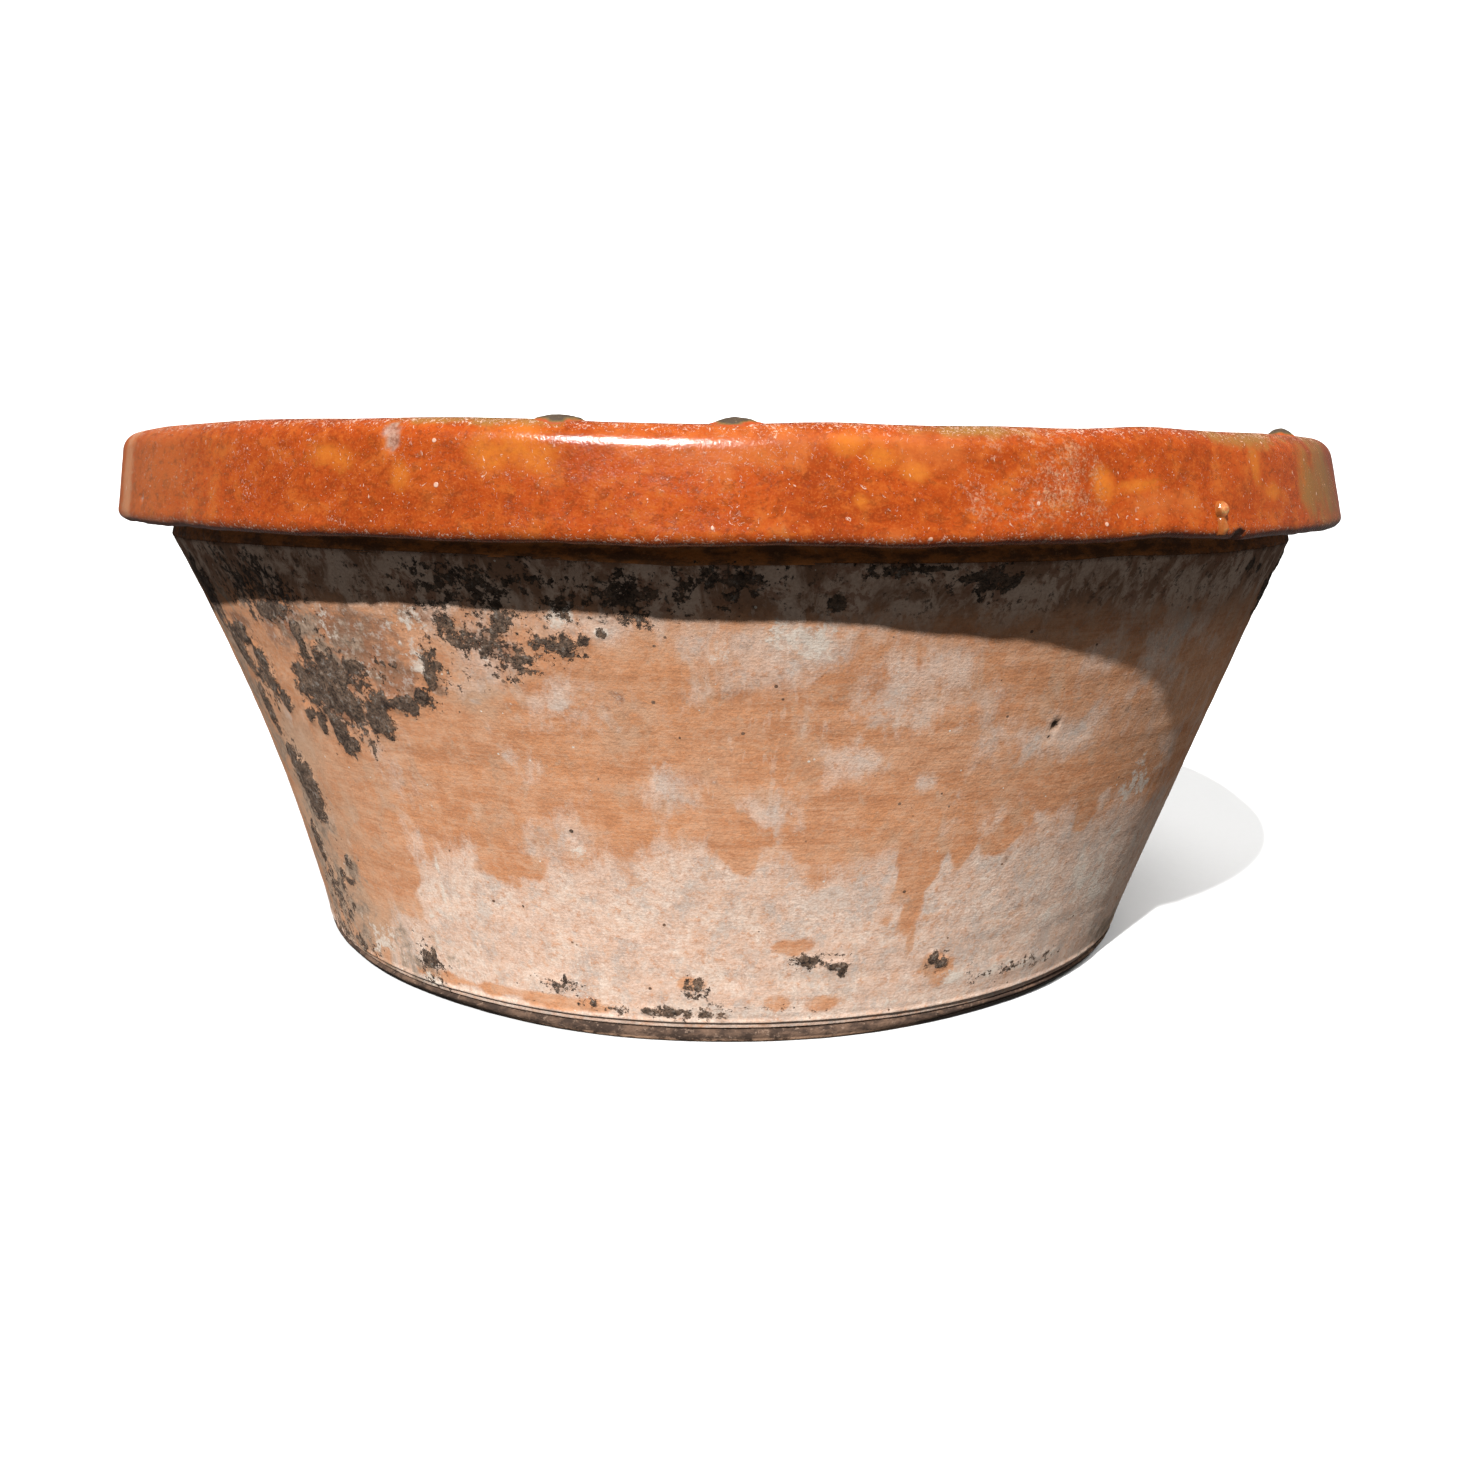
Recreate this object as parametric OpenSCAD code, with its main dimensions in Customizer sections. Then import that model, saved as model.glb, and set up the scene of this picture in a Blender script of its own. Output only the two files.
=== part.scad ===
// Thrown earthenware basin with a glazed rolled rim, in millimetres.
// +Z is up along the axis of the bowl. The origin is the centre of the foot, on the surface it stands on.
// Every profile is an outline in the (radius, height) plane that is turned about the Z axis.

/* [Overall] */
// Outer diameter over the glazed rim, just above its lower edge
rim_d = 500; // [480:1:520]
// Height of the rim's crest above the ground, without the kiln lumps
height = 206; // [202:1:212]
// Diameter of the wall where it springs from the foot
foot_d = 359; // [350:1:370]

/* [Base slab] */
// Thickness of the clay floor
floor_t = 13; // [11:0.5:15]
// Height of the slab's visible edge, up to the seam below the wall
seam_z = 5; // [4:0.5:6]
// Width of the ledge that the wall stands on
ledge_w = 11; // [9:0.5:13]

/* [Wall] */
// Thickness of the wall
wall_t = 11; // [9:0.5:12]
// How far the wall bows inwards from a straight cone, at mid height
wall_bow = 3; // [1.5:0.5:4.5]
// Radius of the cove between wall and floor, inside
cove_r = 24; // [18:1:30]

/* [Rim] */
// Height of the rim from its underside to its crest
rim_h = 31.5; // [30:0.5:34]
// How far the rim stands out past the neck
overhang = 17.8; // [16:0.2:20]
// How much the rim's outer face leans out on its way down
rim_lean = 3.7; // [2:0.1:5]
// Radius of the rim's lower outer edge
low_edge_r = 3.2; // [2.5:0.1:6]
// Radius of the rim's upper outer edge
top_edge_r = 8; // [6:0.5:9]
// Radius of the rim's inner edge
inner_edge_r = 8; // [6:0.5:9]
// Thickness of the rim from face to face at its crest
rim_t = 23.5; // [22:0.5:25]
// How far the inner edge lies below the crest
inner_drop = 2; // [1:0.5:3]

/* [Neck band] */
// Height of the visible band under the rim
neck_h = 7; // [5:0.5:9]
// Thickness of the band
neck_t = 2.2; // [1.5:0.1:3]

/* [Glaze] */
// Thickness of the glaze coat
glaze_t = 0.9; // [0.6:0.1:1.2]
// Depth of the glaze that pooled on the floor
pool_t = 1.9; // [1.8:0.1:2.4]
// Width of the drip on the rim's outer face
drip_w = 5.4; // [4:0.2:7]
// Length of the drip
drip_l = 10.5; // [9:0.5:13]
// Where the drip is, in degrees from the front
drip_at = 36; // [0:1:60]

/* [Kiln lumps] */
// Radius of the bead that each lump is made of
lump_r = 7; // [6:0.5:7.5]
// Height of a lump above the crest
lump_h = 1.8; // [1.2:0.1:2.4]

/* [Hidden] */
$fn = 144;
arc_steps = 10;
bow_steps = 24;

// Angles of the three lumps round the rim, from the front
LUMPS = [-11, 0.5, 52];
// Bead positions within one lump, along the rim
LUMP_BEADS = [-2.5, 0, 2.5];

// Rim: radii and heights of its corner circles
rim_r = rim_d / 2;
rim_low = height - rim_h;
low_c = [rim_r - low_edge_r, rim_low + low_edge_r];
top_c = [rim_r - rim_lean - top_edge_r, height - top_edge_r];
inner_c = [rim_r - rim_lean - rim_t + inner_edge_r, height - inner_drop - inner_edge_r];
lip_r = inner_c[0] - inner_edge_r;

// Neck and foot
seat_z = rim_low + glaze_t;
neck_r = rim_r - overhang;
neck_z = rim_low - neck_h;
foot_r = foot_d / 2;
spring_z = 10;
undercut_z = 7.5;
undercut = 1.6;
foot_bevel = 1.4;
foot_edge = foot_r - undercut;

// The wall's outer profile is an arc from the foot to the neck, whose centre lies outside the bowl
chord = [neck_r - foot_r, neck_z - spring_z];
chord_len = norm(chord);
bow_r = (chord_len * chord_len / 4 + wall_bow * wall_bow) / (2 * wall_bow);
chord_dir = chord / chord_len;
bow_c = [
    (foot_r + neck_r) / 2 + (bow_r - wall_bow) * chord_dir[1],
    (spring_z + neck_z) / 2 - (bow_r - wall_bow) * chord_dir[0]
];
inner_bow_r = bow_r + wall_t;

// The cove is a circle that touches the inner arc and rests a little above the floor
cove_tip = 1;
cove_z = floor_t + cove_tip + cove_r;
cove_dist = inner_bow_r + cove_r;
cove_x = bow_c[0] - sqrt(cove_dist * cove_dist - pow(cove_z - bow_c[1], 2));
cove_c = [cove_x, cove_z];
// Direction in which the cove meets the inner arc
cove_out = atan2(bow_c[1] - cove_z, bow_c[0] - cove_x);

// Points of an arc about c, from angle a0 to angle a1
function arc(c, r, a0, a1, n = arc_steps) =
    [for (i = [0:n]) c + r * [cos(a0 + (a1 - a0) * i / n), sin(a0 + (a1 - a0) * i / n)]];

// Angle, about the wall's centre of curvature, of the point at height z on its arc of radius r
function bow_angle(r, z) = 180 - asin((z - bow_c[1]) / r);

// The wall's arc of radius r between two heights
function wall_arc(r, z0, z1) = arc(bow_c, r, bow_angle(r, z0), bow_angle(r, z1), bow_steps);

// All points but the first, for an arc that goes on from the end of another
function tail(points) = [for (i = [1:len(points) - 1]) points[i]];

// Radius of the wall's arc of radius r at height z
function wall_at(r, z) = bow_c[0] - sqrt(r * r - pow(z - bow_c[1], 2));

// Direction of the normal of the line that touches two circles on their outer side
function touch_angle(c0, r0, c1, r1) =
    atan2(c1[1] - c0[1], c1[0] - c0[0]) - acos((r0 - r1) / norm(c1 - c0));

face_angle = touch_angle(low_c, low_edge_r, top_c, top_edge_r);
crest_angle = 360 + touch_angle(top_c, top_edge_r, inner_c, inner_edge_r);

// The rim's round edges, from the lower outer edge over the crest to the lip, with depth d of glaze taken off
function rim_edges(d) = concat(
    arc(low_c, low_edge_r - d, -90, face_angle),
    arc(top_c, top_edge_r - d, face_angle, crest_angle),
    arc(inner_c, inner_edge_r - d, crest_angle, 180)
);

// Same edges in the opposite order
function reversed(points) = [for (i = [len(points) - 1:-1:0]) points[i]];

// Inner surface of wall and cove, from the cove's tip up to the rim's seat, with coat d of glaze on it
function bowl_curve(d) = concat(
    arc(cove_c, cove_r - d, -90, cove_out),
    tail(wall_arc(inner_bow_r + d, cove_z + (cove_r - d) * sin(cove_out), seat_z))
);

module turned(outline) {
    rotate_extrude() polygon(outline);
}

// Stretch of the glazed rim about one angle, for trimming what stands on it
module rim_stretch(at, span) {
    rotate([0, 0, at - 90 - span / 2])
    rotate_extrude(angle = span, $fn = 1080) polygon(concat([[lip_r, rim_low]], rim_edges(0)));
}

// Clay disc with a ledge round it that the wall stands on
module base_slab() {
    color("#b98160") turned([
        [0, 0],
        [foot_edge - foot_bevel, 0],
        [foot_edge, foot_bevel],
        [foot_edge, seam_z],
        [foot_edge - ledge_w, seam_z],
        [foot_edge - ledge_w, floor_t],
        [0, floor_t]
    ]);
}

// Thrown wall, from the ledge of the slab to the seat of the rim
module wall() {
    recess_r = neck_r - neck_t;
    color("#c98f6b") turned(concat(
        [
            [foot_edge - ledge_w, seam_z],
            [foot_edge, seam_z],
            [foot_edge, undercut_z],
            [foot_r - 0.3, undercut_z + 0.6]
        ],
        wall_arc(bow_r, spring_z, neck_z),
        [
            [recess_r, neck_z],
            [recess_r + 0.6, seat_z]
        ],
        reversed(bowl_curve(0)),
        [
            [cove_x, floor_t],
            [foot_edge - ledge_w, floor_t]
        ]
    ));
}

// Band that fills the recess under the rim
module neck_band() {
    recess_r = neck_r - neck_t;
    color("#5d3d2b") turned([
        [recess_r, neck_z],
        [neck_r - 0.5, neck_z],
        [neck_r, neck_z + 0.8],
        [neck_r - 1, neck_z + neck_h * 0.7],
        [neck_r - 1, seat_z],
        [recess_r + 0.6, seat_z]
    ]);
}

// Clay core of the rim, seated on the wall and on the neck band
module rim_roll() {
    color("#c07a50") turned(concat(
        [[wall_at(inner_bow_r, seat_z), seat_z]],
        rim_edges(glaze_t)
    ));
}

// Glaze coat from the rim's underside over its crest to the lip
module rim_glaze() {
    under_r = neck_r - 1;
    color("#c4592a") turned(concat(
        [[under_r, rim_low]],
        rim_edges(0),
        reversed(rim_edges(glaze_t)),
        [[under_r, seat_z]]
    ));
}

// Glaze lining of the floor, the cove, the wall and the inner face of the rim
module inner_glaze() {
    color("#c9852f") turned(concat(
        [
            [0, floor_t],
            [cove_x, floor_t]
        ],
        bowl_curve(0),
        [
            [lip_r + glaze_t, inner_c[1]],
            [lip_r, inner_c[1]]
        ],
        reversed(bowl_curve(glaze_t)),
        [[0, floor_t + pool_t]]
    ));
}

// Bead of glaze that runs down the rim's outer face: a round head with a thinner tail below it
module glaze_drip() {
    head_r = drip_w / 2;
    tail_r = head_r * 0.75;
    head_z = drip_l - head_r - tail_r;
    color("#d98a4a") difference() {
        rotate([0, 0, drip_at])
        translate([0, -rim_r + 0.4, rim_low + tail_r + 0.4])
        rotate([face_angle, 0, 0])
        turned(concat(
            arc([0, 0], tail_r, -90, 0, 8),
            arc([0, head_z], head_r, -40, 90, 12)
        ));
        rim_stretch(drip_at, 8);
    }
}

// One fused lump on the crest: a short row of beads
module kiln_lump(at) {
    crest_r = top_c[0] + 1.5;
    difference() {
        rotate([0, 0, at])
        for (along = LUMP_BEADS)
            translate([along, -crest_r, height + lump_h - lump_r])
            sphere(lump_r);
        rim_stretch(at, 12);
    }
}

// Fused lumps where other pots stood on the rim
module kiln_lumps() {
    color("#4b352c") for (at = LUMPS) kiln_lump(at);
}

base_slab();
wall();
neck_band();
rim_roll();
rim_glaze();
inner_glaze();
glaze_drip();
kiln_lumps();
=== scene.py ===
"""Looks of an old thrown earthenware basin with an amber-glazed rim. Lengths in metres."""
from functools import reduce
from itertools import product
from math import cos, pi, radians, sin

import bpy
import numpy as np
from mathutils import Matrix, Vector


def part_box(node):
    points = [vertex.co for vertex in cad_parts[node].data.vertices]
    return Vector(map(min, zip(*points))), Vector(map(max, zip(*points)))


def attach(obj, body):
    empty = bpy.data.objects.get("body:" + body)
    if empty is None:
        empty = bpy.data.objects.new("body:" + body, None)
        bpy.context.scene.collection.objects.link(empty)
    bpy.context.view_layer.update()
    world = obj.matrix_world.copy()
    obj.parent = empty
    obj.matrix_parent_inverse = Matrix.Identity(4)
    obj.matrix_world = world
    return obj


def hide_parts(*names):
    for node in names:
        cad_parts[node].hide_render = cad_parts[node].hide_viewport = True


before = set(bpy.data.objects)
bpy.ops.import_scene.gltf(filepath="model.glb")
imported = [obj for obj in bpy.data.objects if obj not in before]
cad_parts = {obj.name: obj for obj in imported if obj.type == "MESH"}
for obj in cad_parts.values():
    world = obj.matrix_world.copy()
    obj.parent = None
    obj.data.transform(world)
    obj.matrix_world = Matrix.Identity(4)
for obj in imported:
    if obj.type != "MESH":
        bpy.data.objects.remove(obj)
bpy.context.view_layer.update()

MM = 0.001


# -------- sizes from the frame

def turned_size(node):
    """Outer radius, lowest and highest point of a turned CAD node"""
    low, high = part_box(node)
    return high.x, low.z, high.z


RIM_R, RIM_LOW, RIM_TOP = turned_size("rim_glaze")
NECK_R, NECK_Z, SEAT_Z = turned_size("neck_band")
FOOT_EDGE_R, _, FLOOR_Z = turned_size("base_slab")
SEAM_Z = turned_size("wall")[1]
LIP_CLAY_R, _, LIP_Z = turned_size("inner_glaze")

GLAZE_T = SEAT_Z - RIM_LOW
LIP_R = LIP_CLAY_R - GLAZE_T
POOL_T = 1.9 * MM
FOOT_R = FOOT_EDGE_R + 1.6 * MM
FOOT_BEVEL = 1.4 * MM
SPRING_Z = 10 * MM
UNDERCUT_Z = 7.5 * MM
WALL_T = 11 * MM
WALL_BOW = 3 * MM
LEDGE_W = 11 * MM
COVE_R = 24 * MM
RIM_LEAN = 3.7 * MM
LOW_EDGE_R = 3.2 * MM
TOP_EDGE_R = 8 * MM
INNER_EDGE_R = 8 * MM

# The hand-made shape: how far the wall leans and bulges, how far the rim is off centre and oval,
# how much of the foot's edge is worn away, and the rim's waves (count, height, turn)
LEAN = 3.7 * MM
BULGE = 0.7 * MM
RIM_SHIFT = 1.1 * MM
OVAL = 0.8 * MM
FOOT_WEAR = 2.2 * MM
RIM_WAVES = ((2, 0.7 * MM, 0.4), (3, 0.5 * MM, 2.0), (5, 0.35 * MM, 1.1))
# Where the rim was pressed down or pulled up: angle and half width in degrees, height
RIM_BUMPS = (
    (-4, 9, -1.4 * MM), (30.5, 4, 1.1 * MM), (36, 6, 0.4 * MM), (-60, 12, -0.9 * MM), (12, 5, -0.4 * MM),
)
# How far the rim's lower edge sags: angle and half width in degrees, height
RIM_SAGS = ((-20, 15, -1.6 * MM), (0, 62, -0.6 * MM), (11, 4, -0.6 * MM), (38, 3, -0.5 * MM))

# -------- marks on the pot
# Each mark: angle from the front in degrees, height in mm, half width and half height in mm

LICHEN = (
    (-40.3, 120, 11, 10), (-38, 124, 9, 6), (-42.6, 124, 5, 4), (-36.6, 116, 5, 6), (-39.6, 105, 5, 7),
    (-38.8, 101, 5, 3), (-42.4, 106, 2.6, 5), (-44.2, 109, 3.2, 3.4), (-33, 112, 5, 6.5),
    (-32, 118, 4, 3.5), (-40.4, 137, 3, 8), (-38.6, 131, 4, 5), (-43, 146, 10, 3), (-34, 131, 5, 2),
    (-30.2, 119, 4, 2), (-28.5, 118.5, 2, 3), (-27, 122, 3, 3), (-25.6, 129, 2.4, 4),
    (-50.5, 127, 4.5, 5), (-50.3, 118, 4.6, 6), (-48.9, 111, 4.6, 4), (-53, 135, 8, 4),
    (-55.6, 128, 6, 10), (-56, 106, 5, 9), (-58, 150, 9, 12), (-52.7, 78, 8, 11), (-51, 74, 5, 8),
    (-54.3, 86, 5, 5), (-52, 66, 4.6, 4), (-48.2, 48, 2.8, 2.4), (-51.4, 41, 4, 3), (-49.6, 39, 3.4, 1.8),
    (-52, 36, 2.4, 3), (-57, 50, 5, 7), (-35.9, 18, 3.4, 3.4), (-34.9, 20, 1.2, 4), (-12.8, 142, 4, 3.6),
    (-11.2, 144, 1.8, 3), (-9.9, 146, 1.5, 1.5), (7.4, 157, 2.2, 2.2), (17.4, 163.4, 6, 1.5),
    (20.6, 162.6, 2.6, 2.6), (50.5, 163, 4, 3), (53, 161, 4, 1.8), (62, 150, 8, 7), (66, 160, 8, 3),
    (8.2, 33, 2.6, 1.1), (11.4, 29.5, 3.4, 1.4), (12.4, 28, 1.6, 3), (22.9, 29, 1.6, 2.4),
    (24, 26, 2.2, 1.6), (-8, 12, 2, 1.2), (-2.6, 23, 1.4, 2.4), (-18.2, 19.4, 2.6, 0.9),
    (-17.2, 21.6, 0.9, 1.8), (0.4, 163, 5, 2), (14, 166.5, 9, 0.8), (84, 140, 9, 6), (88, 130, 5, 9),
    (101, 151, 12, 6), (127, 120, 7, 8), (131, 134, 10, 5), (166, 90, 6, 9), (163, 146, 14, 5),
    (190, 24, 7, 4), (204, 128, 10, 12), (211, 110, 6, 9), (214, 146, 14, 6), (233, 70, 6, 10),
    (-75, 140, 10, 10), (-82, 112, 6, 12), (-93, 60, 6, 6), (-101, 150, 14, 8),
)
SPECKLE = (
    (-29.5, 119, 7, 5), (-26.8, 122, 6, 5), (-25, 134, 6, 10), (-23, 147, 12, 8), (-19.3, 138, 12, 10),
    (-17.8, 148, 10, 6), (-16.6, 138, 6, 7), (-14.6, 141, 6, 4), (-12.6, 152, 8, 7), (-7.2, 152, 9, 4),
    (-20, 160, 30, 8), (-8, 158, 24, 8), (-1, 164, 20, 6), (12, 166, 18, 3), (-45, 156, 30, 14),
    (-36, 128, 22, 10), (-36, 110, 14, 12), (-51, 11, 14, 5), (-55, 27, 16, 12), (-58, 10, 18, 8),
    (35, 17, 24, 4), (-43, 149, 14, 6), (-12.6, 142, 8, 7), (-53, 76, 14, 18), (-36, 15, 9, 10),
    (-52, 122, 12, 16), (9, 32, 9, 4), (23, 27, 5, 5), (-17.5, 18, 8, 5), (-3, 22, 5, 6),
    (19, 162, 14, 6), (-5, 12, 40, 3), (-21, 142, 10, 8), (-17, 136, 7, 6), (86, 138, 20, 16),
    (98, 12, 40, 5), (129, 128, 20, 18), (160, 158, 50, 8), (166, 92, 12, 16), (190, 22, 22, 8),
    (207, 122, 26, 24), (233, 72, 14, 18), (-80, 130, 26, 26), (-90, 22, 30, 12),
)
LIME = (
    (4, 146, 19, 8), (-0.5, 142, 8, 7), (-35.5, 145, 5, 8), (-26.6, 147, 10, 6), (-26.2, 134, 6, 10),
    (-31.6, 118, 4, 4), (-19.8, 138, 4, 8), (-18.3, 122.5, 5, 2.4), (-36.5, 9, 6, 4), (-34.4, 8, 5, 4),
    (-31.2, 55, 1.2, 24), (-33.8, 28, 1.8, 20), (-29.8, 77, 0.9, 9), (-12.6, 152, 6, 5),
    (26, 80.5, 6, 1.2), (-9.9, 146.5, 3, 2), (30, 18, 34, 4), (6, 12, 60, 4), (-14.5, 73, 5, 4),
    (-45, 18, 14, 9), (-33, 128, 7, 5), (92, 110, 12, 14), (115, 30, 20, 8), (138, 146, 22, 7),
    (172, 122, 10, 12), (200, 60, 3, 30), (221, 132, 14, 10), (240, 40, 14, 10), (-72, 80, 8, 16),
)
# Partly pale lime and partly painted light: a wash of the lime colour, with no thickness of its own, that
# lightens the right side where the key light falls off
LIME_AND_PAINTED_LIGHT = ((44, 44, 34, 36), (46, 84, 22, 14))
BLOOM = (
    (50, 55, 95, 46), (3.4, 84, 10, 8), (15, 133, 28, 16), (4, 140, 26, 12), (-13.5, 124, 9, 9),
    (-18, 101, 6, 6), (-15, 76, 10, 8), (-20, 140, 14, 12), (10, 104, 8, 7), (-34, 40, 9, 34),
    (17, 97, 4, 3), (30, 108, 30, 10), (-6, 96, 10, 6), (-10, 148, 30, 6), (40, 135, 30, 20),
    (40, 62, 50, 30), (82, 120, 30, 24), (112, 92, 18, 12), (136, 138, 40, 16), (158, 104, 14, 20),
    (182, 140, 30, 14), (203, 96, 18, 12), (226, 126, 26, 18), (244, 92, 20, 16), (-84, 100, 24, 18),
)
BARE = (
    (17.8, 68, 8, 18), (18.8, 48, 4.5, 12), (19.4, 36, 1.6, 12), (22.7, 70, 3.2, 13), (27.6, 78, 7, 12),
    (37.6, 80, 5, 12), (0.3, 78, 6, 9), (-37.5, 60, 10, 26), (9, 78, 18, 7), (-24, 12, 42, 2.6),
    (24, 24, 9, 7), (6, 16, 5, 3), (10.5, 15, 5, 3), (-3.5, 24, 5, 4), (6, 38, 12, 3), (-22, 64, 12, 8),
    (35, 92, 40, 8), (-47, 35, 14, 20), (92, 62, 9, 18), (105, 48, 6, 24), (123, 66, 16, 12),
    (149, 54, 7, 26), (156, 22, 14, 6), (178, 66, 20, 12), (195, 44, 6, 20), (217, 60, 12, 18),
    (236, 26, 18, 8), (-78, 50, 14, 22),
)
RUST = (
    (-42, 142, 15, 9), (-33, 138, 17, 12), (-38, 118, 9, 10), (-36, 128, 12, 8), (-29, 126, 11, 7),
    (-24, 150, 10, 3), (-19, 142, 7, 6), (-52, 140, 8, 3), (87, 142, 20, 10), (130, 138, 22, 10),
    (208, 134, 26, 12), (-80, 140, 26, 12),
)
PEACH = ((-46.5, 127, 13, 17), (-44, 137, 13, 6), (0, 148, 60, 9), (-22, 12, 50, 4), (47, 112, 40, 12))
TAN_WALL = (
    (-50, 95, 26, 14), (-53, 60, 24, 45), (-50, 25, 30, 16), (-22, 122, 8, 6), (110, 110, 40, 8),
    (190, 80, 50, 10),
)
DIRT = (
    (-40, 15, 26, 10), (-56, 30, 32, 34), (-50, 12, 30, 12), (170, 14, 60, 8), (225, 20, 40, 14),
    (110, 12, 50, 8), (-55, 62, 14, 24), (-60, 110, 14, 40), (-48, 44, 8, 8), (-57, 90, 10, 10),
    (62, 12, 30, 8), (-38, 135, 20, 14), (-53, 152, 20, 8),
)
GREY = (
    (-22, 121, 7, 5), (-14, 123, 7, 8), (12, 124, 14, 16), (27.5, 104, 6, 5), (10.5, 103, 6, 6),
    (3.4, 84, 9, 8), (21.5, 86, 5, 4), (9, 57, 26, 9), (2, 36, 12, 4), (20, 116, 12, 5), (38.6, 38, 2, 6),
    (39.6, 28, 2, 4), (28, 18, 34, 5), (-10, 118, 9, 5), (-20, 105, 9, 5), (-3, 60, 12, 5),
    (24, 74, 3, 2), (32, 112, 9, 4), (-50, 103, 8, 8),
)
SCRATCHED = ((3, 112, 22, 22), (-2, 134, 8, 12), (10, 125, 12, 16), (-20, 150, 20, 6))
# Burst holes: angle, height, radius and depth in mm
PITS = (
    (29.2, 113.5, 1.5, 0.9), (28.9, 109.5, 0.7, 0.4), (-14.8, 79.5, 0.8, 0.3), (-21.2, 48.5, 0.6, 0.3),
)

AMBER = (
    (-27.4, 195.5, 6, 2.6), (-26, 194, 4, 3), (-21.4, 190, 2.4, 3.2), (-13, 199, 6, 6),
    (-15, 196, 5.5, 4.5), (-12, 195.5, 5, 4), (7.4, 200.5, 3.6, 2.4), (9.4, 197, 3.6, 2.2),
    (11.6, 193.6, 3.6, 2), (25, 191, 3, 4.4), (28, 189.5, 7, 1.6), (41.2, 196, 2.4, 6),
    (43.4, 188, 4.5, 2), (50, 192, 6, 8), (8, 186, 1.5, 1.5), (71, 190, 9, 5), (98, 196, 14, 4),
    (127, 186, 9, 5), (160, 195, 16, 5), (196, 190, 10, 6), (229, 194, 15, 4), (-72, 193, 10, 4),
)
SANDY = (
    (17.5, 200, 6, 6), (20, 203, 9, 3), (23, 198, 5, 8), (24.6, 188, 4, 10), (21, 190, 12, 12),
    (16, 186, 6, 8), (88, 200, 12, 5), (141, 190, 8, 10), (186, 184, 16, 6), (238, 198, 12, 7),
)
DULL = ((-50, 188, 34, 18), (-60, 190, 20, 20))
TAN = ((-57.5, 188, 9, 20),)
# Olive glaze: partly a grey-green film, partly painted reflection of the surroundings where the rim is
# seen at a grazing angle
OLIVE_FILM_AND_REFLECTION = (
    (51, 190, 8, 10), (56, 190, 16, 18), (16, 205, 16, 1.6), (-16, 205.6, 20, 1.6), (40, 204, 20, 2.5),
    (120, 204, 22, 2.5), (205, 203, 26, 3), (150, 180, 12, 4),
)
PINK = (
    (-6, 200, 9, 4), (0, 199, 20, 5), (10, 177, 2.6, 2.2), (13, 199, 10, 5), (54, 196, 6, 6),
    (30, 184, 10, 3), (110, 182, 20, 5), (178, 200, 24, 4), (215, 182, 16, 5),
)
# Chips in the rim, which also have a depth, and a bead of glaze near its lower edge
CHIPS = (
    (-22.2, 202.2, 3.0, 3.0, 0.45), (-22.0, 199.5, 2.2, 4.0, 0.45), (38.2, 175.5, 2.4, 2.0, 1.8),
    (-51.6, 183, 1.6, 1.2, 0.9),
)
GLAZE_BEAD = (-28, 177.5, 3, 3)
# Lumps on the crest: angle, half width, half depth and height in mm, turn of the wavy outline, seed
LUMPS = ((-11.0, 10, 7, 1.7, 0.4, 163), (0.5, 9, 7, 2.0, 2.1, 167), (52.0, 6, 6, 2.6, 4.0, 173))

# The wall's marks by name: their table, how ragged their outline is, and the seed of its noise
WALL_MARKS = {
    "lichen": (LICHEN, 0.35, 11),
    "speckle": (SPECKLE, 0.45, 17),
    # The lime field also carries the painted light of the wash on the right side
    "lime": (LIME + LIME_AND_PAINTED_LIGHT, 0.5, 23),
    "rust": (RUST, 0.4, 83),
    "peach": (PEACH, 0.5, 89),
    "dirt": (DIRT, 0.5, 199),
    "tan": (TAN_WALL, 0.4, 191),
    "grey": (GREY, 0.4, 193),
    "scratch": (SCRATCHED, 0.2, 197),
}
RIM_MARKS = {
    "amber": (AMBER, 0.25, 131),
    "sand": (SANDY, 0.5, 59),
    "dull": (DULL, 0.2, 137),
    "tan": (TAN, 0.2, 139),
    "olive": (OLIVE_FILM_AND_REFLECTION, 0.3, 149),
    "pink": (PINK, 0.3, 151),
}


# -------- noise and marks

def smooth(low, high, value):
    """0 below low, 1 above high, and a smooth rise between"""
    t = np.clip((value - low) / (high - low), 0, 1)
    return t * t * (3 - 2 * t)


NOISE_SIDE = 48


def lattice_noise(points, seed):
    """Smooth noise from -1 to 1, one cell to a unit"""
    table = np.random.default_rng(seed).uniform(-1, 1, (NOISE_SIDE,) * 3)
    cell = np.floor(points).astype(int)
    t = points - cell
    t = t * t * (3 - 2 * t)
    value = np.zeros(len(points))
    for corner in product((0, 1), repeat=3):
        side = np.where(corner, t, 1 - t)
        at = (cell + corner) % NOISE_SIDE
        value += side.prod(axis=1) * table[at[:, 0], at[:, 1], at[:, 2]]
    return value


def fractal(points, size, seed, octaves=3):
    """Layers of noise, the largest with cells of the given size, about -1 to 1"""
    shape = points.shape[:-1]
    flat = points.reshape(-1, 3) / size
    total = sum(lattice_noise(flat * 2 ** k + 5.7 * k, seed + k) * 0.5 ** k for k in range(octaves))
    return total.reshape(shape)


class Skin:
    """Points of a turned surface by radius, angle and height, and their place on the hand-made pot"""

    def __init__(self, radius, angle, height):
        self.radius = radius
        self.angle = angle
        self.height = height
        self.base = thrown(radius, angle, height)

    def gap(self, at, up, half_w, half_h):
        """Distance from the middle of a mark: 1 at its edge"""
        across = (self.angle - radians(at)) * self.radius / (half_w * MM)
        return np.hypot(across, (self.height - up * MM) / (half_h * MM))

    def noise(self, size, seed, octaves=3):
        return fractal(self.base, size, seed, octaves)

    def rings(self, size, seed):
        """Throwing rings: noise that changes quickly with height and slowly round the pot"""
        slow = np.stack([self.base[..., 0] / 25, self.base[..., 1] / 25, self.height], -1)
        return fractal(slow, size, seed, 2)


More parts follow.
